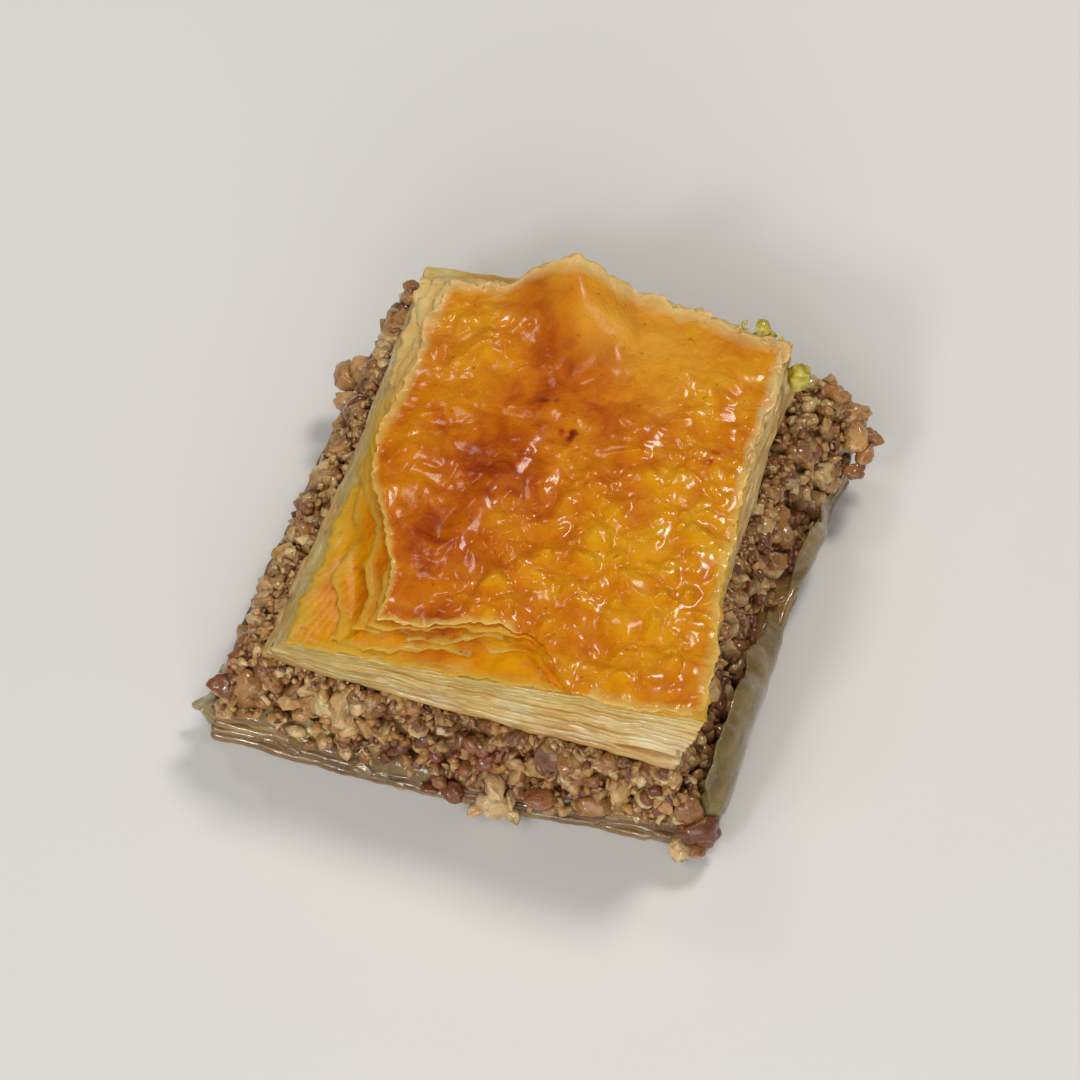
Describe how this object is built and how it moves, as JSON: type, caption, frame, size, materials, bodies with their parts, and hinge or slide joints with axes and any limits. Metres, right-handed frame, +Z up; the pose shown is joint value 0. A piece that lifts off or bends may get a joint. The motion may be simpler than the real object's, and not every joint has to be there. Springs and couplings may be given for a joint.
{
  "type": "baklava piece",
  "caption": "Square-cut baklava piece: a foot of syrup-soaked pastry sheets, a chopped walnut filling, and a flaky stack of sheets with a browned, blistered crust.",
  "frame": {"origin": "middle of the whole piece's box seen from above, on the surface it rests on", "axes": "+Z up; +X along the front cut, left to right for someone who faces it; +Y towards the back"},
  "size_m": [0.0471, 0.0486, 0.0203],
  "materials": {
    "soaked_pastry": "wet, translucent, syrup-soaked sheets",
    "walnut": "chopped, uneven, lightly syruped",
    "browned_crust": "glossy amber crust with pale blisters",
    "pastry_edge": "cream, ragged cut edges of thin sheets",
    "pistachio": "chopped crumbs",
    "syrup": "clear sugar syrup"
  },
  "bodies": {
    "root": {"base_pastry": "soaked_pastry", "nut_filling": "walnut", "top_pastry": "browned_crust"}
  },
  "joints": []
}
